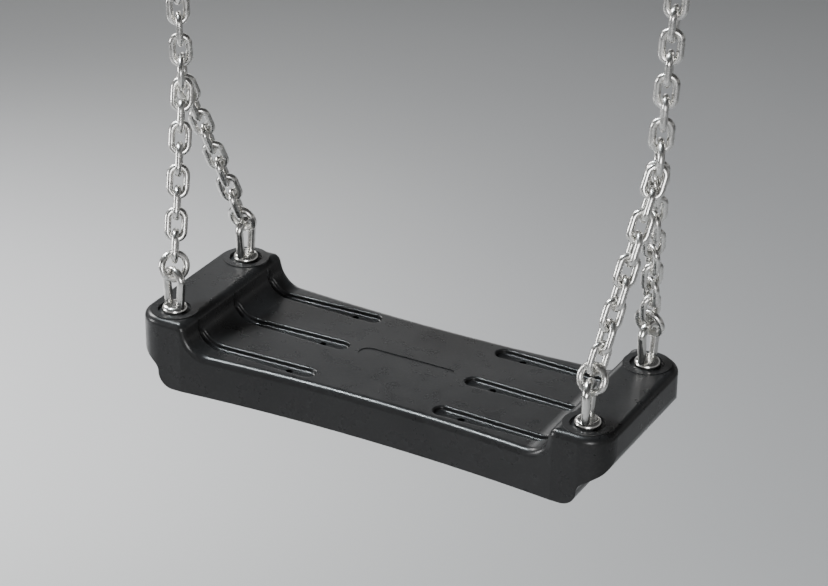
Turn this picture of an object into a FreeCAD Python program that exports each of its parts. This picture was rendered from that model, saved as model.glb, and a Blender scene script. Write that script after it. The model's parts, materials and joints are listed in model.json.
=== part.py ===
"""Swing seat on four chain legs, with the hangers that bolt it to a beam.

Millimetres, +Z up.  The origin is the centre of the four beam bolts, on the faces that meet
the beam.  X runs along the beam and the seat, the swing goes to and fro along Y, and the
sitter faces -Y.  "l" and "r" are the -X and +X sides, "f" and "r" the -Y and +Y ones.
"""
import FreeCAD, Part
import math
import os

V = FreeCAD.Vector
UP = V(0, 0, 1)
SIDES = {"l": -1, "r": 1}
ENDS = {"f": -1, "r": 1}

# Chain: 6 mm short-link chain, welded, with a larger ring at the foot of each leg.
BAR_R = 3.0
PITCH = 19.0
LINK_GAP = 0.5
LINK_INNER = PITCH + LINK_GAP
LINK_WIDTH = 8.4
RING_R = 11.5
RING_PITCH = 2 * (RING_R - BAR_R) - LINK_GAP
LEG_LINKS = {"l": 8, "r": 9}
UPPER_LINKS = {"l": 10, "r": 9}
JOIN_WIDTH = 20.0
JOIN_INNER = 21.8
HEAD_SPREAD = 4.1
HEAD_PLAY = 0.3

# How far each link is turned about its chain, in degrees from the XZ plane.  The steps are
# from one link to the next, away from the junction.
JOIN_TURN = 118
HEAD_TURN = 28
UPPER_STEP = {"l": 96.9, "r": 86.5}
LEG_TURN = {"l": 118, "r": 122}
LEG_STEP = {"l": 90, "r": 94.07}
RING_TURN = {"lf": 54, "lr": 0, "rf": -6, "rr": -8}
EYE_TURN = {"lf": -15, "lr": 85, "rf": 100, "rr": 76}

# Swing hangers, from the beam down.
PLATE_T = 6.0
PLATE_X = 60.0
PLATE_Y = 104.0
PLATE_CORNER = 10.0
BOLT_SPACING = 74.0
BOLT_HOLE_R = 6.5
EAR_GAP = 26.0
EAR_T = 6.0
EAR_R = 17.0
PIVOT_DROP = 30.0
PIVOT_R = 6.0
FIT = 0.05
CLEAR = 0.3
PIVOT_BUSH_R = 10.0
YOKE_BOSS_R = 16.0
YOKE_LENGTH = 38.0
LUG_R = 12.0
LUG_T = 10.4
BOLT_HEAD_H = 7.5
BOLT_TAIL = 14.0
SHACKLE_BAR_R = 3.0
SHACKLE_PIN_R = 4.0
SHACKLE_PIN_TAIL = 8.0
SHACKLE_JAW = 12.0
SHACKLE_INSIDE = 26.0
SHACKLE_EAR_R = 9.0
SHACKLE_EAR_T = 7.0
SHACKLE_HEAD_R = 7.0
SHACKLE_HEAD_H = 5.0

# Where the chains run: junctions wider apart than the eyes, and hangers wider again.
HANGER_X = 234.0
JOIN_X = 223.6
SHACKLE_TO_EYE = 391.0

# Seat, measured down from the shelves that carry the eyes.
EYE_X = 200.0
EYE_Y = 58.5
SEAT_HALF_LENGTH = 227.0
SEAT_HALF_DEPTH = 83.0
WAIST_HALF_DEPTH = 74.0
WAIST_HALF_LENGTH = 180.0
PLAN_CORNER_R = 25.0
SIT_DROP = 27.0
SEAT_HEIGHT = 66.0
SHELF_EDGE_X = 177.0
SLOPE_DEG = 76.0
SLOPE_FOOT_R = 22.0
SHELF_EDGE_R = 8.0
END_FACE = 24.0
END_EDGE_R = 14.0
STEP_INSET = 24.0
STEP_R = 10.0
STEP_DEG = 60.0
BASE_CORNER_R = 14.0
RIM_R = 6.5
GROOVE_LIP_R = 1.8

# Eye fittings and what holds them in the rubber.
EYE_BAR_R = 3.75
EYE_TOP = 41.0
EYE_ARCH_R = 9.5
EYE_PLAY = 0.8
EYE_FOOT_HALF = 6.6
COLLAR_R = 11.5
COLLAR_H = 7.0
COLLAR_DOME_R = 4.2
COLLAR_BASE_Z = -2.0
BUSH_TOP_Z = COLLAR_BASE_Z - 0.1
SHANK_R = 6.0
BUSH_R = 9.0
BUSH_FLANGE_R = 14.5
BUSH_FLANGE_T = 1.5
PLATE_STEEL_T = 4.0
SHANK_END_Z = -29.5
NUT_ACROSS = 19.0
NUT_H = 9.0
NUT_GAP = 0.1
WASHER_R = 12.0
WASHER_T = 2.0
WASHER_PLAY = 0.4
POCKET_R = 12.5
POCKET_END_Z = -30.0
BOSS_R = 21.0
BOSS_RISE = 0.6
BOSS_ROOT = 14.0
BOSS_RECESS_R = 15.0
BOSS_RECESS_DEPTH = 3.5

# Core plate: flat under the sitter, cranked up under the shelves.
CORE_MID_Z = -44.0
CORE_END_Z = -13.0
CORE_MID_HALF = 163.0
CORE_CRANK_END = 184.0
CORE_HALF_LENGTH = 217.0
CORE_HALF_DEPTH = 70.0
CORE_WAIST_HALF = 62.0
CORE_WINDOW_R = 6.0
CORE_CORNER_R = 12.0

# Grooves, drains and the blank label panel in the sitting surface.
GROOVE_Y = (-57.5, 0.0, 57.5)
GROOVE_INNER_X = 58.5
GROOVE_OUTER_X = 176.0
GROOVE_INNER_HALF = 7.5
GROOVE_OUTER_HALF = 4.0
GROOVE_DEPTH = 4.0
GROOVE_FLOOR_R = 2.0
DRAIN_X = 84.0
DRAIN_R = 3.2
LABEL_HALF_LENGTH = 47.0
LABEL_HALF_WIDTH = 9.0
LABEL_DEPTH = 0.6

# Cutting solids run past the material by OVERSHOOT, or right through the seat.
OVERSHOOT = 10.0
THROUGH_Y = 400.0
DEEP_Z = -80.0
ABOVE_Z = 40.0
TOUCH = 0.01

# Heights that follow from the sizes above.
PIVOT_Z = -PIVOT_DROP
SHACKLE_Z = PIVOT_Z - YOKE_LENGTH
SHACKLE_OUTSIDE = SHACKLE_JAW / 2 + SHACKLE_BAR_R + SHACKLE_EAR_T / 2
EYE_CONTACT_Z = SHACKLE_Z - SHACKLE_TO_EYE
SHELF_Z = EYE_CONTACT_Z + EYE_PLAY - (EYE_TOP - 2 * EYE_BAR_R)

# The leg heads bear part of the way up the junction link's bend.
HEAD_ORBIT = JOIN_WIDTH / 2 - BAR_R - HEAD_PLAY
JOIN_RISE = JOIN_WIDTH / 2 - BAR_R - math.sqrt(HEAD_ORBIT ** 2 - HEAD_SPREAD ** 2)


def cylinder(radius, start, end):
    axis = end - start
    return Part.makeCylinder(radius, axis.Length, start, axis)


def box(x0, x1, y0, y1, z0, z1):
    return Part.makeBox(x1 - x0, y1 - y0, z1 - z0, V(x0, y0, z0))


def line(a, b):
    return Part.makeLine(a, b)


def arc(start, centre, end, radius):
    """Arc from start to end about centre, on the side of the two points."""
    middle = (start + end) * 0.5 - centre
    middle.normalize()
    return Part.Arc(start, centre + middle * radius, end).toShape()


def prism(edges, direction):
    return Part.Face(Part.Wire(edges)).extrude(direction)


def hexagon(across, z0, z1):
    reach = across / math.sqrt(3)
    corners = [V(reach * math.cos(math.radians(60 * k)), reach * math.sin(math.radians(60 * k)), z0)
               for k in range(6)]
    return Part.Face(Part.makePolygon(corners + corners[:1])).extrude(V(0, 0, z1 - z0))


def vertical(edge):
    ends = [v.Point for v in edge.Vertexes]
    return len(ends) == 2 and abs(ends[0].x - ends[1].x) < 1e-6 and abs(ends[0].y - ends[1].y) < 1e-6


def moved(shape, x, y=0.0, z=0.0):
    placed = shape.copy()
    placed.translate(V(x, y, z))
    return placed


def along_x(shape, z):
    """Turn a shape built along +Z so that it points along +X at height z."""
    turned = shape.copy()
    turned.rotate(V(0, 0, 0), V(0, 1, 0), 90)
    turned.translate(V(0, 0, z))
    return turned


def along_y(shape):
    """Turn a shape built along +Z so that it points along +Y."""
    turned = shape.copy()
    turned.rotate(V(0, 0, 0), V(1, 0, 0), -90)
    return turned


def rounded(solid, radius, wanted):
    """Round the wanted edges all together."""
    return solid.makeFillet(radius, [e for e in solid.Edges if wanted(e)])


def rim_at(edge, z, radius):
    """True for the circle of that radius at height z."""
    b = edge.BoundBox
    return abs(b.ZMin - z) < TOUCH and abs(b.ZMax - z) < TOUCH and b.XLength > 2 * radius - TOUCH


def oval_link(inner_length, inner_width):
    """A closed oval of round bar in the XZ plane, its length along Z."""
    bend = inner_width / 2 + BAR_R
    half_straight = inner_length / 2 + BAR_R - bend
    reach = 2 * bend
    torus = Part.makeTorus(bend, BAR_R, V(0, 0, 0), V(0, 1, 0))
    top = torus.common(box(-reach, reach, -reach, reach, 0, reach))
    bottom = torus.common(box(-reach, reach, -reach, reach, -reach, 0))
    solid = moved(top, 0, 0, half_straight).fuse(moved(bottom, 0, 0, -half_straight))
    for side in (-1, 1):
        low, high = V(side * bend, 0, -half_straight), V(side * bend, 0, half_straight)
        solid = solid.fuse(cylinder(BAR_R, low, high))
    return solid.removeSplitter()


def round_ring():
    return Part.makeTorus(RING_R, BAR_R, V(0, 0, 0), V(0, 1, 0))


def place_link(shape, centre, along, turn):
    """Stand a link on its chain's line, turned about it from the XZ plane."""
    rise = along if along.z > 0 else along * -1
    lateral = V(1, 0, 0) - rise * rise.x
    lateral.normalize()
    across = rise.cross(lateral)
    angle = math.radians(turn)
    width_axis = lateral * math.cos(angle) + across * math.sin(angle)
    normal = rise.cross(width_axis)
    matrix = FreeCAD.Matrix(
        width_axis.x, normal.x, rise.x, centre.x,
        width_axis.y, normal.y, rise.y, centre.y,
        width_axis.z, normal.z, rise.z, centre.z,
        0, 0, 0, 1)
    placed = shape.copy()
    placed.Placement = FreeCAD.Placement(matrix)
    return placed


def chain(first_contact, along, pitch, turns):
    """Links one after another, one for each turn."""
    link = oval_link(LINK_INNER, LINK_WIDTH)
    return [place_link(link, first_contact + along * (pitch * (k + 0.5)), along, turn)
            for k, turn in enumerate(turns)]


# ---------------------------------------------------------------- hangers

def hanger_bracket(x):
    """Plate with two holes for the beam bolts and two ears that carry the pivot bolt."""
    half_x, half_y = PLATE_X / 2, PLATE_Y / 2
    plate = box(-half_x, half_x, -half_y, half_y, -PLATE_T, 0)
    plate = plate.makeFillet(PLATE_CORNER, [e for e in plate.Edges if vertical(e)])
    bracket = plate
    for side in (-1, 1):
        inner, outer = side * EAR_GAP / 2, side * (EAR_GAP / 2 + EAR_T)
        low, high = min(inner, outer), max(inner, outer)
        ear = box(low, high, -EAR_R, EAR_R, PIVOT_Z, -PLATE_T)
        ear = ear.fuse(cylinder(EAR_R, V(low, 0, PIVOT_Z), V(high, 0, PIVOT_Z)))
        bracket = bracket.fuse(ear)
    reach = EAR_GAP / 2 + EAR_T + 1
    bracket = bracket.cut(cylinder(PIVOT_R, V(-reach, 0, PIVOT_Z), V(reach, 0, PIVOT_Z)))
    for side in (-1, 1):
        hole_y = side * BOLT_SPACING / 2
        bracket = bracket.cut(cylinder(BOLT_HOLE_R, V(0, hole_y, -PLATE_T - 1), V(0, hole_y, 1)))
    return moved(bracket.removeSplitter(), x)


def pivot_bolt(x):
    outside = EAR_GAP / 2 + EAR_T
    bolt = cylinder(PIVOT_R, V(0, 0, -outside), V(0, 0, outside + BOLT_TAIL))
    bolt = bolt.fuse(hexagon(NUT_ACROSS, -outside - BOLT_HEAD_H, -outside))
    return moved(along_x(bolt.removeSplitter(), PIVOT_Z), x)


def pivot_nut(x):
    outside = EAR_GAP / 2 + EAR_T
    return moved(along_x(lock_nut(PIVOT_R, outside), PIVOT_Z), x)


def lock_nut(bore_r, z):
    """Hexagon with a round collar that grips the thread."""
    collar_h = NUT_H / 4
    nut = hexagon(NUT_ACROSS, z, z + NUT_H - collar_h)
    nut = nut.fuse(cylinder(NUT_ACROSS / 2 - 1, V(0, 0, z), V(0, 0, z + NUT_H)))
    return nut.cut(cylinder(bore_r, V(0, 0, z - 1), V(0, 0, z + NUT_H + 1))).removeSplitter()


def pivot_bush(x):
    half = EAR_GAP / 2 - CLEAR
    sleeve = cylinder(PIVOT_BUSH_R, V(-half, 0, PIVOT_Z), V(half, 0, PIVOT_Z))
    bore = cylinder(PIVOT_R + FIT, V(-half - 1, 0, PIVOT_Z), V(half + 1, 0, PIVOT_Z))
    return moved(sleeve.cut(bore), x)


def swing_yoke(x):
    """Boss that turns on the pivot bolt, over a lug that the shackle pin goes through."""
    half = EAR_GAP / 2 - CLEAR
    boss = cylinder(YOKE_BOSS_R, V(-half, 0, PIVOT_Z), V(half, 0, PIVOT_Z))
    lug = cylinder(LUG_R, V(0, -LUG_T / 2, SHACKLE_Z), V(0, LUG_T / 2, SHACKLE_Z))
    neck = box(-LUG_R, LUG_R, -LUG_T / 2, LUG_T / 2, SHACKLE_Z, PIVOT_Z)
    yoke = boss.fuse([lug, neck]).removeSplitter()
    yoke = yoke.cut(cylinder(PIVOT_BUSH_R, V(-half - 1, 0, PIVOT_Z), V(half + 1, 0, PIVOT_Z)))
    pin_bore = cylinder(SHACKLE_PIN_R + FIT, V(0, -LUG_T, SHACKLE_Z), V(0, LUG_T, SHACKLE_Z))
    return moved(yoke.cut(pin_bore), x)


def leaned(shape, side, key):
    """Tip a shape built about its pin, hanging down, into line with the upper chain."""
    down, _ = upper_run(side, key)
    tipped = shape.copy()
    tipped.rotate(V(0, 0, 0), V(0, 1, 0), math.degrees(math.atan2(-down.x, -down.z)))
    tipped.translate(pin_centre(side))
    return tipped


def shackle(side, key):
    leg_y = SHACKLE_JAW / 2 + SHACKLE_BAR_R
    bow_z = -(SHACKLE_INSIDE + SHACKLE_BAR_R - leg_y)
    reach = 2 * SHACKLE_INSIDE
    bow = Part.makeTorus(leg_y, SHACKLE_BAR_R, V(0, 0, bow_z), V(1, 0, 0))
    body = bow.common(box(-reach, reach, -reach, reach, bow_z - reach, bow_z))
    for end in (-1, 1):
        foot = V(0, end * leg_y, bow_z)
        body = body.fuse(cylinder(SHACKLE_BAR_R, foot, V(0, end * leg_y, 0)))
        inner, outer = end * (leg_y - SHACKLE_EAR_T / 2), end * SHACKLE_OUTSIDE
        body = body.fuse(cylinder(SHACKLE_EAR_R, V(0, inner, 0), V(0, outer, 0)))
    pin_hole = cylinder(SHACKLE_PIN_R, V(0, -reach, 0), V(0, reach, 0))
    return leaned(body.cut(pin_hole).removeSplitter(), side, key)


def shackle_pin(side, key):
    outside = SHACKLE_OUTSIDE
    pin = cylinder(SHACKLE_PIN_R, V(0, -outside, 0), V(0, outside + SHACKLE_PIN_TAIL, 0))
    head = cylinder(SHACKLE_HEAD_R, V(0, -outside - SHACKLE_HEAD_H, 0), V(0, -outside, 0))
    return leaned(pin.fuse(head).removeSplitter(), side, key)


def shackle_nut(side, key):
    outside = SHACKLE_OUTSIDE
    nut = hexagon(2 * SHACKLE_HEAD_R, outside, outside + SHACKLE_HEAD_H)
    nut = nut.cut(cylinder(SHACKLE_PIN_R, V(0, 0, 0), V(0, 0, 2 * outside)))
    return leaned(along_y(nut), side, key)


# ---------------------------------------------------------------- chains

def pin_centre(side):
    return V(side * HANGER_X, 0, SHACKLE_Z)


def junction(side, key):
    """Where the legs hook on: as high as their taut length from the two eyes allows."""
    leg = RING_PITCH + LEG_LINKS[key] * PITCH
    rise = math.sqrt(leg ** 2 - EYE_Y ** 2 - (JOIN_X - EYE_X) ** 2)
    return V(side * JOIN_X, 0, EYE_CONTACT_Z + rise)


def upper_run(side, key):
    """Unit vector down the upper chain, and the pitch that spans shackle to junction."""
    down = junction(side, key) - pin_centre(side)
    pitch = (down.Length - SHACKLE_INSIDE - JOIN_INNER + LINK_GAP + JOIN_RISE) / UPPER_LINKS[key]
    down.normalize()
    return down, pitch


def upper_contact(side, key, links):
    """Where the upper chain bears after so many links, counted from the shackle."""
    down, pitch = upper_run(side, key)
    return pin_centre(side) + down * (SHACKLE_INSIDE - LINK_GAP / 2 + pitch * links)


def upper_turn(key, links_above_end):
    return HEAD_TURN + UPPER_STEP[key] * links_above_end


def upper_chain(side, key):
    down, pitch = upper_run(side, key)
    turns = [upper_turn(key, k) for k in range(UPPER_LINKS[key] - 1, 0, -1)]
    return Part.Compound(chain(upper_contact(side, key, 0), down, pitch, turns))


def upper_end(side, key):
    """Last link of the upper chain, which the junction link hangs in."""
    down, pitch = upper_run(side, key)
    start = upper_contact(side, key, UPPER_LINKS[key] - 1)
    return chain(start, down, pitch, [upper_turn(key, 0)])[0]


def junction_link(side, key):
    """Wider link that the top links of both legs hook into, side by side."""
    down, _ = upper_run(side, key)
    centre = upper_contact(side, key, UPPER_LINKS[key]) + down * ((JOIN_INNER - LINK_GAP) / 2)
    return place_link(oval_link(JOIN_INNER, JOIN_WIDTH), centre, down, JOIN_TURN)


def leg_top(side, key, end):
    """Where a leg's top link bears on the junction link."""
    turn = math.radians(JOIN_TURN)
    across = V(math.cos(turn), math.sin(turn), 0)
    return junction(side, key) + across * (end * HEAD_SPREAD)


def leg_run(side, key, end):
    """Foot, unit vector and pitch of a leg, from its eye up to the junction link."""
    foot = V(side * EYE_X, end * EYE_Y, EYE_CONTACT_Z)
    along = leg_top(side, key, end) - foot
    pitch = (along.Length - RING_PITCH) / LEG_LINKS[key]
    along.normalize()
    return foot, along, pitch


def leg_head(side, key, end):
    foot, along, pitch = leg_run(side, key, end)
    start = foot + along * (RING_PITCH + pitch * (LEG_LINKS[key] - 1))
    return chain(start, along, pitch, [HEAD_TURN])[0]


def leg_chain(side, key, end):
    foot, along, pitch = leg_run(side, key, end)
    count = LEG_LINKS[key] - 1
    turns = [LEG_TURN[key] + LEG_STEP[key] * k for k in reversed(range(count))]
    return Part.Compound(chain(foot + along * RING_PITCH, along, pitch, turns))


def leg_ring(side, key, end, corner):
    foot, along, _ = leg_run(side, key, end)
    return place_link(round_ring(), foot + along * (RING_PITCH / 2), along, RING_TURN[corner])


# ---------------------------------------------------------------- eyes

def eye(name, x, y):
    """Forged loop on a domed collar, with a shank that goes down through the seat."""
    arch_z = EYE_TOP - EYE_BAR_R - EYE_ARCH_R
    arch = Part.makeTorus(EYE_ARCH_R, EYE_BAR_R, V(0, 0, arch_z), V(0, 1, 0))
    upper_half = box(-EYE_TOP, EYE_TOP, -EYE_TOP, EYE_TOP, arch_z, arch_z + EYE_TOP)
    loop = arch.common(upper_half)
    collar_top = COLLAR_BASE_Z + COLLAR_H
    for side in (-1, 1):
        shoulder = V(side * EYE_ARCH_R, 0, arch_z)
        foot = V(side * EYE_FOOT_HALF, 0, collar_top - 2 * EYE_BAR_R)
        leg = cylinder(EYE_BAR_R, shoulder, foot)
        loop = loop.fuse([Part.makeSphere(EYE_BAR_R, shoulder), leg])
    collar = Part.makeCylinder(COLLAR_R, COLLAR_H, V(0, 0, COLLAR_BASE_Z))
    collar = rounded(collar, COLLAR_DOME_R, lambda e: rim_at(e, collar_top, COLLAR_R))
    above_base = box(-EYE_TOP, EYE_TOP, -EYE_TOP, EYE_TOP, COLLAR_BASE_Z, 2 * EYE_TOP)
    shank = cylinder(SHANK_R, V(0, 0, SHANK_END_Z), V(0, 0, COLLAR_BASE_Z))
    solid = loop.fuse(collar).common(above_base).fuse(shank).removeSplitter()
    solid.rotate(V(0, 0, 0), UP, EYE_TURN[name])
    return moved(solid, x, y, SHELF_Z)


def eye_bush(x, y):
    """Flanged sleeve that the shank turns in, from the collar down to the core plate."""
    sleeve = cylinder(BUSH_R, V(0, 0, CORE_END_Z - PLATE_STEEL_T), V(0, 0, BUSH_TOP_Z))
    flange = cylinder(BUSH_FLANGE_R, V(0, 0, BUSH_TOP_Z - BUSH_FLANGE_T), V(0, 0, BUSH_TOP_Z))
    bore = cylinder(SHANK_R + FIT, V(0, 0, DEEP_Z), V(0, 0, OVERSHOOT))
    return moved(sleeve.fuse(flange).cut(bore).removeSplitter(), x, y, SHELF_Z)


def seat_washers():
    top = CORE_END_Z - PLATE_STEEL_T
    ring = cylinder(WASHER_R, V(0, 0, top - WASHER_T), V(0, 0, top))
    ring = ring.cut(cylinder(SHANK_R + WASHER_PLAY, V(0, 0, DEEP_Z), V(0, 0, OVERSHOOT)))
    corners = [(x, y) for x in (-EYE_X, EYE_X) for y in (-EYE_Y, EYE_Y)]
    return Part.Compound([moved(ring, x, y, SHELF_Z) for x, y in corners])


def eye_nut(x, y):
    top = CORE_END_Z - PLATE_STEEL_T - WASHER_T - NUT_GAP
    nut = lock_nut(SHANK_R, 0)
    nut.rotate(V(0, 0, 0), V(1, 0, 0), 180)
    return moved(nut, x, y, SHELF_Z + top)


# ---------------------------------------------------------------- seat

def top_line(offset):
    """The seat's top seen from the front, left to right, sunk below the surface by offset."""
    slope = math.radians(SLOPE_DEG)
    flat_z = -SIT_DROP - offset
    shelf_z = -offset
    foot_r = SLOPE_FOOT_R + offset
    edge_r = SHELF_EDGE_R - offset
    anchor_x = SHELF_EDGE_X + offset * math.sin(slope)
    anchor_z = -offset * math.cos(slope)
    foot_x = anchor_x + (flat_z - anchor_z) / math.tan(slope)
    head_x = anchor_x + (shelf_z - anchor_z) / math.tan(slope)
    foot_run = foot_r * math.tan(slope / 2)
    edge_run = edge_r * math.tan(slope / 2)
    rise = V(math.cos(slope), 0, math.sin(slope))
    right = [
        V(foot_x - foot_run, 0, flat_z),
        V(foot_x, 0, flat_z) + rise * foot_run,
        V(head_x, 0, shelf_z) - rise * edge_run,
        V(head_x + edge_run, 0, shelf_z),
        V(SEAT_HALF_LENGTH + OVERSHOOT, 0, shelf_z),
    ]
    foot_centre = V(foot_x - foot_run, 0, flat_z + foot_r)
    edge_centre = V(head_x + edge_run, 0, shelf_z - edge_r)
    half = [
        arc(right[0], foot_centre, right[1], foot_r),
        line(right[1], right[2]),
        arc(right[2], edge_centre, right[3], edge_r),
        line(right[3], right[4]),
    ]
    mirrored = [e.mirror(V(0, 0, 0), V(1, 0, 0)) for e in reversed(half)]
    middle = line(V(-right[0].x, 0, flat_z), right[0])
    return mirrored + [middle] + half


def top_region(offset, ceiling):
    """Everything above the top line, as a solid right through the seat's depth."""
    reach = SEAT_HALF_LENGTH + OVERSHOOT
    shelf_z = -offset
    frame = [line(V(reach, 0, shelf_z), V(reach, 0, ceiling)),
             line(V(reach, 0, ceiling), V(-reach, 0, ceiling)),
             line(V(-reach, 0, ceiling), V(-reach, 0, shelf_z))]
    return through_seat(top_line(offset) + frame)


def through_seat(edges):
    """Solid with the given outline in the XZ plane, running right through the seat's depth."""
    return moved(prism(Part.__sortEdges__(edges), V(0, THROUGH_Y, 0)), 0, -THROUGH_Y / 2)


def plan_outline(half_length, half_depth, waist_half, corner, z):
    """Closed outline seen from above: straight ends, rounded corners and waisted long sides."""
    flat_x = half_length - corner
    waist_x = min(WAIST_HALF_LENGTH, flat_x - 1)
    edges = []
    for end in (-1, 1):
        left, right = V(-waist_x, end * half_depth, z), V(waist_x, end * half_depth, z)
        edges.append(Part.Arc(left, V(0, end * waist_half, z), right).toShape())
        for side in (-1, 1):
            centre = V(side * flat_x, end * (half_depth - corner), z)
            a = V(side * flat_x, end * half_depth, z)
            b = V(side * half_length, end * (half_depth - corner), z)
            edges.append(line(V(side * waist_x, end * half_depth, z), a))
            edges.append(arc(a, centre, b, corner))
    for side in (-1, 1):
        x = side * half_length
        edges.append(line(V(x, corner - half_depth, z), V(x, half_depth - corner, z)))
    return Part.__sortEdges__(edges)


def plan_prism(half_length, half_depth, waist_half, corner, z0, z1):
    return prism(plan_outline(half_length, half_depth, waist_half, corner, z0), V(0, 0, z1 - z0))


def seat_prism(z0, z1):
    """The seat's own outline from above, between two heights."""
    return plan_prism(SEAT_HALF_LENGTH, SEAT_HALF_DEPTH, WAIST_HALF_DEPTH, PLAN_CORNER_R, z0, z1)


def end_profile():
    """Right end of the seat seen from the front, from the flat end face in under the shelf."""
    tilt = math.radians(STEP_DEG)
    base_x = SEAT_HALF_LENGTH - STEP_INSET
    edge_x = SEAT_HALF_LENGTH - END_EDGE_R
    edge_centre = V(edge_x, 0, -END_FACE)
    edge_end = edge_centre + V(math.cos(tilt), 0, -math.sin(tilt)) * END_EDGE_R
    run_x = edge_end.x - (base_x + STEP_R * (1 - math.cos(tilt)))
    step_end = edge_end - V(run_x, 0, run_x / math.tan(tilt))
    step_centre = step_end + V(math.cos(tilt), 0, -math.sin(tilt)) * STEP_R
    base_top = V(base_x, 0, step_centre.z)
    return [arc(V(SEAT_HALF_LENGTH, 0, -END_FACE), edge_centre, edge_end, END_EDGE_R),
            line(edge_end, step_end),
            arc(step_end, step_centre, base_top, STEP_R)], base_top.z


def end_step(side):
    """Solid cut from under one end, leaving the shelf block overhanging the base."""
    profile, base_top_z = end_profile()
    base_x = SEAT_HALF_LENGTH - STEP_INSET
    reach = SEAT_HALF_LENGTH + OVERSHOOT
    floor_z = -SEAT_HEIGHT - OVERSHOOT
    corners = [V(base_x, 0, base_top_z), V(base_x, 0, floor_z), V(reach, 0, floor_z),
               V(reach, 0, -END_FACE), V(SEAT_HALF_LENGTH, 0, -END_FACE)]
    edges = profile + [line(a, b) for a, b in zip(corners, corners[1:])]
    solid = through_seat(edges)
    if side < 0:
        solid = solid.mirror(V(0, 0, 0), V(1, 0, 0))
    return solid


def groove_outline(side, y, z):
    """Tapered slot with round ends, seen from above."""
    inner_x = side * (GROOVE_INNER_X + GROOVE_INNER_HALF)
    outer_x = side * (GROOVE_OUTER_X - GROOVE_OUTER_HALF)
    a, b = V(outer_x, y - GROOVE_OUTER_HALF, z), V(inner_x, y - GROOVE_INNER_HALF, z)
    c, d = V(inner_x, y + GROOVE_INNER_HALF, z), V(outer_x, y + GROOVE_OUTER_HALF, z)
    inner_tip, outer_tip = V(side * GROOVE_INNER_X, y, z), V(side * GROOVE_OUTER_X, y, z)
    inner_end = Part.Arc(b, inner_tip, c).toShape()
    outer_end = Part.Arc(d, outer_tip, a).toShape()
    return [line(a, b), inner_end, line(c, d), outer_end]


def label_outline(z):
    reach, half = LABEL_HALF_LENGTH - LABEL_HALF_WIDTH, LABEL_HALF_WIDTH
    return [line(V(-reach, -half, z), V(reach, -half, z)),
            Part.Arc(V(reach, -half, z), V(reach + half, 0, z), V(reach, half, z)).toShape(),
            line(V(reach, half, z), V(-reach, half, z)),
            Part.Arc(V(-reach, half, z), V(-reach - half, 0, z), V(-reach, -half, z)).toShape()]


def lies_on(edge, shell):
    """True for an edge that lies on the shell over its whole length."""
    first, last = edge.ParameterRange
    for part in (0.25, 0.5, 0.75):
        point = Part.Vertex(edge.valueAt(first + part * (last - first)))
        if point.distToShape(shell)[0] > TOUCH:
            return False
    return True


def crosses(edge, x, z):
    """True for the straight edge across the seat at plus or minus x and height z."""
    b = edge.BoundBox
    at_x = abs(abs(b.XMin) - x) < TOUCH and b.XLength < TOUCH
    return at_x and abs(b.ZMin - z) < TOUCH and b.ZLength < TOUCH


def seat_blank():
    """The seat body with its outside edges rounded, before anything is sunk into it."""
    blank = seat_prism(-SEAT_HEIGHT, 0).cut(top_region(0, ABOVE_Z))
    for side in (-1, 1):
        blank = blank.cut(end_step(side))
    wall = seat_prism(DEEP_Z, ABOVE_Z).Shells[0]
    base_x = SEAT_HALF_LENGTH - STEP_INSET
    blank = rounded(blank, BASE_CORNER_R, lambda e: crosses(e, base_x, -SEAT_HEIGHT))
    blank = rounded(blank, RIM_R, lambda e: not vertical(e) and e.BoundBox.ZMin > -END_FACE + 1
                    and lies_on(e, wall))
    return blank


def grooved(seat):
    """Cut the grooves, all sunk by one depth along the top line, and round their lips and floors."""
    surface = top_region(0, ABOVE_Z)
    floor = top_region(GROOVE_DEPTH, ABOVE_Z)
    for side in (-1, 1):
        for y in GROOVE_Y:
            column = prism(groove_outline(side, y, DEEP_Z), V(0, 0, ABOVE_Z - DEEP_Z))
            seat = seat.cut(column.common(floor))
            wall = column.Shells[0]
            for radius, level in ((GROOVE_LIP_R, surface.Shells[0]), (GROOVE_FLOOR_R, floor.Shells[0])):
                seat = rounded(seat, radius, lambda e: lies_on(e, level) and lies_on(e, wall))
    return seat


def seat_rubber():
    seat = grooved(seat_blank())
    for x in (-EYE_X, EYE_X):
        for y in (-EYE_Y, EYE_Y):
            seat = seat.fuse(cylinder(BOSS_R, V(x, y, -BOSS_ROOT), V(x, y, BOSS_RISE)))
    seat = seat.removeSplitter()
    waste = [prism(label_outline(-SIT_DROP - LABEL_DEPTH), V(0, 0, OVERSHOOT))]
    for side in (-1, 1):
        for y in GROOVE_Y:
            waste.append(drain_bore(DRAIN_R, side, y))
    pocket_top = CORE_END_Z - PLATE_STEEL_T
    for x in (-EYE_X, EYE_X):
        for y in (-EYE_Y, EYE_Y):
            recess_z = BOSS_RISE - BOSS_RECESS_DEPTH
            waste.append(cylinder(BOSS_RECESS_R, V(x, y, recess_z), V(x, y, OVERSHOOT)))
            waste.append(cylinder(POCKET_R, V(x, y, POCKET_END_Z), V(x, y, pocket_top)))
            waste.append(cylinder(BUSH_R, V(x, y, pocket_top), V(x, y, OVERSHOOT)))
            waste.append(cylinder(BUSH_FLANGE_R, V(x, y, BUSH_TOP_Z - BUSH_FLANGE_T), V(x, y, 0)))
    for piece in waste:
        seat = seat.cut(piece)
    seat = seat.cut(core_blank())
    return moved(seat, 0, 0, SHELF_Z)


def drain_bore(radius, side, y):
    """Upright cylinder through the seat where a drain goes."""
    return cylinder(radius, V(side * DRAIN_X, y, DEEP_Z), V(side * DRAIN_X, y, 0))


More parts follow.
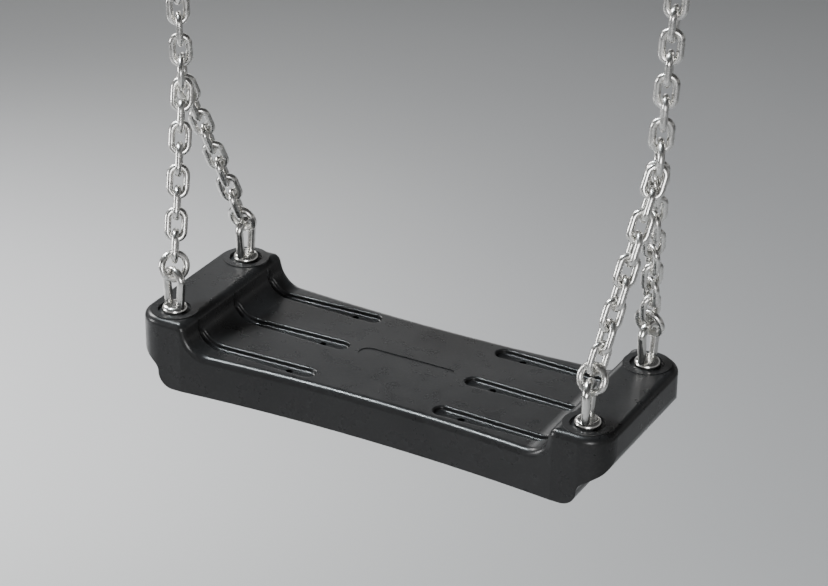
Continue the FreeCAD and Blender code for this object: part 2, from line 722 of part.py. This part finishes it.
def core_blank():
    """Steel strip bent up at both ends, with a window around each drain."""
    crank = [(CORE_MID_HALF, CORE_MID_Z), (CORE_CRANK_END, CORE_END_Z), (CORE_HALF_LENGTH, CORE_END_Z)]
    path = [V(-x, 0, z) for x, z in reversed(crank)] + [V(x, 0, z) for x, z in crank]
    corners = path + [V(p.x, 0, p.z - PLATE_STEEL_T) for p in reversed(path)]
    strip = through_seat([line(a, b) for a, b in zip(corners, corners[1:] + corners[:1])])
    plan = plan_prism(CORE_HALF_LENGTH, CORE_HALF_DEPTH, CORE_WAIST_HALF, CORE_CORNER_R, DEEP_Z, 0)
    plate = strip.common(plan)
    for side in (-1, 1):
        for y in GROOVE_Y:
            plate = plate.cut(drain_bore(CORE_WINDOW_R, side, y))
    return plate


def core_plate():
    plate = core_blank()
    for x in (-EYE_X, EYE_X):
        for y in (-EYE_Y, EYE_Y):
            plate = plate.cut(cylinder(BUSH_R, V(x, y, DEEP_Z), V(x, y, OVERSHOOT)))
    return moved(plate, 0, 0, SHELF_Z)


# ---------------------------------------------------------------- the whole swing

def build():
    nodes = {"seat_rubber": seat_rubber(), "core_plate": core_plate(), "seat_washers": seat_washers()}
    for key, side in SIDES.items():
        nodes["hanger_bracket_" + key] = hanger_bracket(side * HANGER_X)
        nodes["pivot_bolt_" + key] = pivot_bolt(side * HANGER_X)
        nodes["pivot_nut_" + key] = pivot_nut(side * HANGER_X)
        nodes["pivot_bush_" + key] = pivot_bush(side * HANGER_X)
        nodes["swing_yoke_" + key] = swing_yoke(side * HANGER_X)
        nodes["shackle_" + key] = shackle(side, key)
        nodes["shackle_pin_" + key] = shackle_pin(side, key)
        nodes["shackle_nut_" + key] = shackle_nut(side, key)
        nodes["upper_chain_" + key] = upper_chain(side, key)
        nodes["upper_end_" + key] = upper_end(side, key)
        nodes["junction_link_" + key] = junction_link(side, key)
        for end_key, end in ENDS.items():
            corner = key + end_key
            x, y = side * EYE_X, end * EYE_Y
            nodes["eye_" + corner] = eye(corner, x, y)
            nodes["eye_bush_" + corner] = eye_bush(x, y)
            nodes["eye_nut_" + corner] = eye_nut(x, y)
            nodes["leg_ring_" + corner] = leg_ring(side, key, end, corner)
            nodes["leg_chain_" + corner] = leg_chain(side, key, end)
            nodes["leg_head_" + corner] = leg_head(side, key, end)
    return nodes


os.makedirs("parts", exist_ok=True)
for node, shape in build().items():
    shape.exportStep("parts/" + node + ".step")
    print(node, shape.isValid(), len(shape.Solids), round(shape.Volume / 1000, 2))
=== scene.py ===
"""Looks for the rubber swing seat: materials, floor, soft studio light and the camera.

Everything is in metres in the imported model's frame: +Z up, X along the seat, the sitter
faces -Y, and the origin is on the beam between the two hangers.
"""
import json
import math

import bpy
from mathutils import Matrix, Vector


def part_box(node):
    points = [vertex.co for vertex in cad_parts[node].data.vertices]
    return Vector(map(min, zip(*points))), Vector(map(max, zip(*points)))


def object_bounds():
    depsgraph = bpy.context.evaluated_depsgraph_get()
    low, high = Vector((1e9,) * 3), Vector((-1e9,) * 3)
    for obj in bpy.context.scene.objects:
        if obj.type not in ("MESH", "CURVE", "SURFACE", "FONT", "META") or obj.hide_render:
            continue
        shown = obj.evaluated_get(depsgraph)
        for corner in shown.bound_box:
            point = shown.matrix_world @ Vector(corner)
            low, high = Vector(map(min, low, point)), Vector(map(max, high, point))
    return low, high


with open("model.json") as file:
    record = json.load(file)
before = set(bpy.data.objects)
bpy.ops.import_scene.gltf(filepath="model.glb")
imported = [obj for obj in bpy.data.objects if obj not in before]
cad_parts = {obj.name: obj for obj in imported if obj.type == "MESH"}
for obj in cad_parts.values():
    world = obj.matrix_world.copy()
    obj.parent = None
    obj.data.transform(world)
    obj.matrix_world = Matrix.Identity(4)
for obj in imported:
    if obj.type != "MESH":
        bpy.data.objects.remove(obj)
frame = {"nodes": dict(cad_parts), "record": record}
CAD_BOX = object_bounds()

# Camera: where it stands relative to the middle of the seat's top, in degrees and metres,
# and its lens in millimetres.
AZIMUTH = 28.44
ELEVATION = 27.2
ROLL = 0.8
DISTANCE = 2.2394
AIM_RIGHT = 0.00558
AIM_UP = 0.03665
SENSOR_WIDTH = 36.0
FOCAL_LENGTH = 113.04

# How far the raised rings round the eyes stand above the seat's shelves.
BOSS_RISE = 0.0006

# Floor, and the soft pool of light on it behind the left end.
FLOOR_DROP = 0.75
FLOOR_SIZE = 60.0
FLOOR_ROUGHNESS = 0.9
POOL_POWER = 1050.0
POOL_ANGLE = 30.0
POOL_SOFTNESS = 0.4
POOL_PLACE = (-3.4, -0.4, 2.0)
POOL_AIM = (-1.6, 0.7)

# Square lights, all aimed at the seat's middle: name, offset from it, width, watts, colour.
WHITE = (1.0, 1.0, 1.0)
LIGHTS = (
    ("key_left", (-2.3, 0.5, 1.7), 0.8, 56.0, (1.0, 0.99, 0.98)),
    ("lip_strip", (-0.97, -0.3, 2.0), 0.2, 52.0, (0.88, 0.96, 1.0)),
    ("back_low", (-1.3, 2.4, 0.7), 0.9, 4.5, WHITE),
    ("fill_front", (1.4, -2.4, 0.4), 0.9, 34.0, WHITE),
    ("side_left", (-2.2, -1.2, 0.3), 0.7, 24.0, WHITE),
)

# World: colour level with the eye and overhead, and how high the change reaches.
WORLD_LOW = (0.54, 0.54, 0.54)
WORLD_HIGH = (0.07, 0.07, 0.07)
WORLD_TURN = 0.4
WORLD_STRENGTH = 0.85

# Limits of a noise texture's useful range.
NOISE_LOW = 0.3
NOISE_HIGH = 0.7
NOISE_ROUGHNESS = 0.55

# Colours, each a dark and a light one that a texture runs between.
RUBBER_BODY = ((0.012, 0.012, 0.0125), (0.021, 0.021, 0.0215))
RUBBER_DUST = ((0.015, 0.015, 0.0155), (0.032, 0.032, 0.0325))
RUBBER_SPECULAR = 0.42
GALVANISED = ((0.48, 0.49, 0.50), (0.58, 0.59, 0.60))
MILL_SCALE = ((0.16, 0.16, 0.17), (0.34, 0.33, 0.32))
NYLON = ((0.58, 0.56, 0.50), (0.72, 0.70, 0.64))
BLACK_NYLON = ((0.012, 0.012, 0.013), (0.022, 0.022, 0.023))
FLOOR_PAINT = ((0.49, 0.49, 0.50), (0.55, 0.55, 0.55))
BRIGHT = (0.96, 0.95, 0.92)
ZINC = (0.60, 0.61, 0.62)
DULL_SHARE = 0.72


# ---------------------------------------------------------------- node helpers

def new_material(name):
    """A material with only its output and a Principled shader, and the tree's node maker."""
    material = bpy.data.materials.new(name)
    material.use_nodes = True
    tree = material.node_tree
    tree.nodes.clear()
    output = tree.nodes.new("ShaderNodeOutputMaterial")
    shader = tree.nodes.new("ShaderNodeBsdfPrincipled")
    tree.links.new(shader.outputs["BSDF"], output.inputs["Surface"])
    return material, tree, shader


def place_texture(tree, kind, scale, **values):
    """A procedural texture that sits still on the object, at so many cells per metre."""
    coords = tree.nodes.new("ShaderNodeTexCoord")
    texture = tree.nodes.new(kind)
    tree.links.new(coords.outputs["Object"], texture.inputs["Vector"])
    texture.inputs["Scale"].default_value = scale
    for name, value in values.items():
        texture.inputs[name].default_value = value
    return texture


def noise(tree, scale, detail=3.0):
    texture = place_texture(tree, "ShaderNodeTexNoise", scale, Detail=detail,
                            Roughness=NOISE_ROUGHNESS)
    return texture.outputs["Fac"]


def cells(tree, scale):
    return place_texture(tree, "ShaderNodeTexVoronoi", scale).outputs["Distance"]


def remap(tree, value, low, high, from_low=NOISE_LOW, from_high=NOISE_HIGH):
    """Run a value between two others as it crosses its own range."""
    node = tree.nodes.new("ShaderNodeMapRange")
    tree.links.new(value, node.inputs["Value"])
    node.inputs["From Min"].default_value = from_low
    node.inputs["From Max"].default_value = from_high
    node.inputs["To Min"].default_value = low
    node.inputs["To Max"].default_value = high
    return node.outputs["Result"]


def two_colours(tree, value, first, second, from_low=NOISE_LOW, from_high=NOISE_HIGH):
    """Run from one colour to another as the value crosses its range."""
    ramp = tree.nodes.new("ShaderNodeValToRGB")
    ramp.color_ramp.elements[0].position = from_low
    ramp.color_ramp.elements[0].color = (*first, 1.0)
    ramp.color_ramp.elements[1].position = from_high
    ramp.color_ramp.elements[1].color = (*second, 1.0)
    tree.links.new(value, ramp.inputs["Fac"])
    return ramp.outputs["Color"]


def mix(tree, factor, first, second):
    node = tree.nodes.new("ShaderNodeMix")
    node.data_type = "RGBA"
    tree.links.new(factor, node.inputs["Factor"])
    tree.links.new(first, node.inputs["A"])
    tree.links.new(second, node.inputs["B"])
    return node.outputs["Result"]


def bumps(tree, shader, *layers):
    """Stack bump layers, each a (height, depth in metres) pair, onto the shader."""
    normal = None
    for height, depth in layers:
        node = tree.nodes.new("ShaderNodeBump")
        node.inputs["Strength"].default_value = 1.0
        node.inputs["Distance"].default_value = depth
        tree.links.new(height, node.inputs["Height"])
        if normal is not None:
            tree.links.new(normal, node.inputs["Normal"])
        normal = node.outputs["Normal"]
    tree.links.new(normal, shader.inputs["Normal"])


# ---------------------------------------------------------------- materials

def rubber():
    """Satin black moulded rubber: fine grain, slight flow marks and a dusty bloom."""
    material, tree, shader = new_material("black_rubber")
    bloom = noise(tree, 14.0, detail=5.0)
    body = two_colours(tree, bloom, *RUBBER_BODY)
    speck = noise(tree, 420.0, detail=2.0)
    dust = two_colours(tree, speck, *RUBBER_DUST, 0.45, 0.75)
    colour = mix(tree, remap(tree, bloom, 0.25, 0.75), body, dust)
    tree.links.new(colour, shader.inputs["Base Color"])
    polish = noise(tree, 60.0, detail=4.0)
    tree.links.new(remap(tree, polish, 0.25, 0.34), shader.inputs["Roughness"])
    shader.inputs["Specular IOR Level"].default_value = RUBBER_SPECULAR
    flow = noise(tree, 9.0, detail=2.0)
    grain = noise(tree, 900.0, detail=2.0)
    bumps(tree, shader, (flow, 0.0008), (grain, 0.00002))
    return material


def bright_steel(name, colour, rough_low, rough_high):
    """Welded chain steel with a bright coat: brightness and polish vary along the bar."""
    material, tree, shader = new_material(name)
    dull = tuple(channel * DULL_SHARE for channel in colour)
    tarnish = noise(tree, 95.0, detail=4.0)
    tree.links.new(two_colours(tree, tarnish, dull, colour), shader.inputs["Base Color"])
    shader.inputs["Metallic"].default_value = 1.0
    polish = noise(tree, 160.0)
    tree.links.new(remap(tree, polish, rough_low, rough_high), shader.inputs["Roughness"])
    dents = noise(tree, 130.0, detail=2.0)
    grain = noise(tree, 1100.0, detail=2.0)
    bumps(tree, shader, (dents, 0.00025), (grain, 0.00002))
    return material


def galvanised_steel():
    """Hot-dip galvanised plate with its crystal pattern."""
    material, tree, shader = new_material("galvanised_steel")
    crystal = cells(tree, 240.0)
    tree.links.new(two_colours(tree, crystal, *GALVANISED, 0.1, 0.8), shader.inputs["Base Color"])
    shader.inputs["Metallic"].default_value = 1.0
    tree.links.new(remap(tree, crystal, 0.38, 0.48, 0.1, 0.8), shader.inputs["Roughness"])
    bumps(tree, shader, (noise(tree, 60.0), 0.0003), (noise(tree, 700.0), 0.00003))
    return material


def zinc_steel():
    """Zinc-plated fasteners, a little cooler and duller than the chain."""
    return bright_steel("zinc_steel", ZINC, 0.24, 0.38)


def core_steel():
    """Bare plate with mill scale, closed in by the rubber."""
    material, tree, shader = new_material("core_steel")
    scale = noise(tree, 40.0, detail=6.0)
    tree.links.new(two_colours(tree, scale, *MILL_SCALE), shader.inputs["Base Color"])
    shader.inputs["Metallic"].default_value = 0.9
    tree.links.new(remap(tree, scale, 0.45, 0.7), shader.inputs["Roughness"])
    bumps(tree, shader, (noise(tree, 300.0), 0.00008))
    return material


def nylon(name, dark, light):
    """Turned nylon bushes, slightly cloudy."""
    material, tree, shader = new_material(name)
    cloud = noise(tree, 80.0, detail=4.0)
    tree.links.new(two_colours(tree, cloud, dark, light), shader.inputs["Base Color"])
    tree.links.new(remap(tree, cloud, 0.35, 0.5), shader.inputs["Roughness"])
    bumps(tree, shader, (noise(tree, 500.0), 0.00003))
    return material


def floor_paint():
    """Pale matt studio floor, very slightly uneven."""
    material, tree, shader = new_material("studio_floor")
    cloud = noise(tree, 0.6, detail=2.0)
    tree.links.new(two_colours(tree, cloud, *FLOOR_PAINT), shader.inputs["Base Color"])
    shader.inputs["Roughness"].default_value = FLOOR_ROUGHNESS
    return material


def dress_nodes():
    """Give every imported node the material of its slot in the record."""
    made = {
        "black_rubber": rubber(),
        "core_steel": core_steel(),
        "chain_steel": bright_steel("chain_steel", BRIGHT, 0.20, 0.34),
        "eye_steel": bright_steel("eye_steel", BRIGHT, 0.16, 0.28),
        "galvanised_steel": galvanised_steel(),
        "zinc_steel": zinc_steel(),
        "nylon": nylon("nylon", *NYLON),
        "black_nylon": nylon("black_nylon", *BLACK_NYLON),
    }
    for part in frame["record"]["subparts"]:
        mesh = frame["nodes"][part["node"]].data
        mesh.materials.clear()
        mesh.materials.append(made[part["material_slot"]])


# ---------------------------------------------------------------- studio

def seat_centre():
    """Middle of the seat's top: the plane of the shelves that carry the eyes."""
    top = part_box("seat_rubber")[1].z - BOSS_RISE
    return Vector((0.0, 0.0, top))


def camera_axes():
    """Right, up and backward unit vectors of the camera, with its roll."""
    a, e, r = (math.radians(angle) for angle in (AZIMUTH, ELEVATION, ROLL))
    back = Vector((math.sin(a) * math.cos(e), -math.cos(a) * math.cos(e), math.sin(e)))
    level_right = Vector((math.cos(a), math.sin(a), 0.0))
    level_up = back.cross(level_right)
    right = level_right * math.cos(r) + level_up * math.sin(r)
    up = level_up * math.cos(r) - level_right * math.sin(r)
    return right, up, back, level_right, level_up


def add_camera():
    right, up, back, level_right, level_up = camera_axes()
    place = seat_centre() + level_right * AIM_RIGHT + level_up * AIM_UP + back * DISTANCE
    data = bpy.data.cameras.new("camera")
    data.sensor_width = SENSOR_WIDTH
    data.lens = FOCAL_LENGTH
    camera = bpy.data.objects.new("camera", data)
    camera.matrix_world = Matrix((
        (right.x, up.x, back.x, place.x),
        (right.y, up.y, back.y, place.y),
        (right.z, up.z, back.z, place.z),
        (0.0, 0.0, 0.0, 1.0),
    ))
    bpy.context.scene.collection.objects.link(camera)
    bpy.context.scene.camera = camera


def add_light(name, offset, size, power, colour):
    """Square area light at an offset from the seat's middle, aimed at it."""
    data = bpy.data.lights.new(name, "AREA")
    data.size = size
    data.energy = power
    data.color = colour
    light = bpy.data.objects.new(name, data)
    target = seat_centre()
    light.location = target + Vector(offset)
    light.rotation_euler = (target - light.location).to_track_quat("-Z", "Y").to_euler()
    bpy.context.scene.collection.objects.link(light)


def floor_height():
    return CAD_BOX[0][2] - FLOOR_DROP


def add_floor_pool():
    """Soft pool of light on the floor behind the left end, clear of the swing."""
    data = bpy.data.lights.new("floor_pool", "SPOT")
    data.energy = POOL_POWER
    data.spot_size = math.radians(POOL_ANGLE)
    data.spot_blend = 1.0
    data.shadow_soft_size = POOL_SOFTNESS
    light = bpy.data.objects.new("floor_pool", data)
    light.location = POOL_PLACE
    aim = Vector((*POOL_AIM, floor_height()))
    light.rotation_euler = (aim - light.location).to_track_quat("-Z", "Y").to_euler()
    bpy.context.scene.collection.objects.link(light)


def add_world():
    """A room lighter low down, so that level surfaces mirror a dim ceiling."""
    world = bpy.data.worlds.new("studio")
    world.use_nodes = True
    tree = world.node_tree
    coords = tree.nodes.new("ShaderNodeTexCoord")
    split = tree.nodes.new("ShaderNodeSeparateXYZ")
    tree.links.new(coords.outputs["Generated"], split.inputs["Vector"])
    sky = two_colours(tree, split.outputs["Z"], WORLD_LOW, WORLD_HIGH, 0.0, WORLD_TURN)
    tree.links.new(sky, tree.nodes["Background"].inputs["Color"])
    tree.nodes["Background"].inputs["Strength"].default_value = WORLD_STRENGTH
    bpy.context.scene.world = world


def add_floor():
    """Flat floor under the hanging swing."""
    half = FLOOR_SIZE / 2
    mesh = bpy.data.meshes.new("floor")
    plan = [(-half, -half), (half, -half), (half, half), (-half, half)]
    mesh.from_pydata([(x, y, floor_height()) for x, y in plan], [], [(0, 1, 2, 3)])
    mesh.materials.append(floor_paint())
    floor = bpy.data.objects.new("floor", mesh)
    bpy.context.scene.collection.objects.link(floor)


dress_nodes()
add_camera()
for light_settings in LIGHTS:
    add_light(*light_settings)
add_floor_pool()
add_world()
add_floor()
